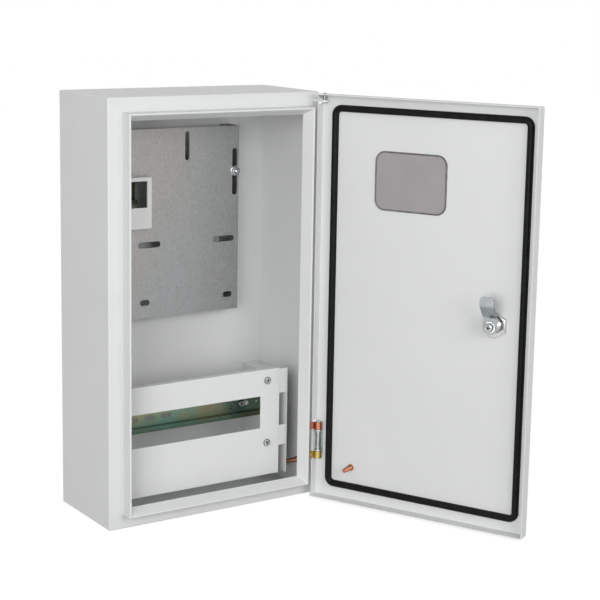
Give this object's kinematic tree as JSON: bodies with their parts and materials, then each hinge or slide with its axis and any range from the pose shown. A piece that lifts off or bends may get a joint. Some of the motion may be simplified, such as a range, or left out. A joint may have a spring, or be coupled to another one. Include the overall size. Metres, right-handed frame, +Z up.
{
  "type": "metal electrical enclosure",
  "caption": "Wall-mounted sheet-metal enclosure for an electricity meter and a row of modules, with a hinged gasketed door, window and cam lock.",
  "frame": {"origin": "the middle of the four wall holes, on the back face that goes against the wall", "axes": "+X to the right seen from the front, +Y into the wall, +Z up; the door opens towards -Y"},
  "size_m": [0.4398, 0.4386, 0.55],
  "materials": {
    "body_paint": "light grey powder coat, fine texture, satin",
    "galvanised": "galvanised sheet with a faint mottled spangle",
    "zinc": "bright zinc plating",
    "passivated": "yellow-green passivated zinc",
    "nickel": "nickel plated casting",
    "copper": "copper flashed steel",
    "brass": "turned brass",
    "white_plastic": "white moulded plastic, satin",
    "seal_rubber": "black foamed rubber, matt",
    "clear_pane": "clear polycarbonate with a grey cast"
  },
  "bodies": {
    "box": {"body_shell": "body_paint", "back_panel": "body_paint", "cover_panel": "body_paint", "bracket_left": "body_paint", "bracket_right": "body_paint", "hinge_knuckle_high": "copper", "hinge_knuckle_low": "brass", "hinge_pin_low": "zinc", "hinge_tongue": "zinc", "hinge_pin_high": "zinc", "meter_plate": "galvanised", "plate_bolt": "zinc", "plate_washer": "zinc", "plate_nut": "zinc", "breaker_cover": "white_plastic", "breaker_rail": "passivated", "din_rail": "passivated", "rail_screws": "zinc", "panel_screws": "zinc", "body_earth_stud": "copper"},
    "door": {"door_panel": "body_paint", "door_gasket": "seal_rubber", "window_seal": "seal_rubber", "window_pane": "clear_pane", "hinge_bracket": "zinc", "lock_housing": "nickel", "lock_seal": "seal_rubber", "lock_nut": "zinc", "door_earth_stud": "copper"},
    "lock": {"lock_driver": "zinc", "lock_cam": "zinc", "cam_washer": "passivated", "cam_screw": "passivated"}
  },
  "joints": [
    {"name": "door_hinge", "type": "hinge", "parent": "box", "child": "door", "pos_m": [0.149, -0.159, 0.0125], "axis": [0, 0, 1], "range_deg": [-115.4, 8]},
    {"name": "lock_turn", "type": "hinge", "parent": "door", "child": "lock", "pos_m": [0.26275, -0.3834, 0.009], "axis": [0.9033, 0.4289, 0], "range_deg": [0, 90]}
  ]
}
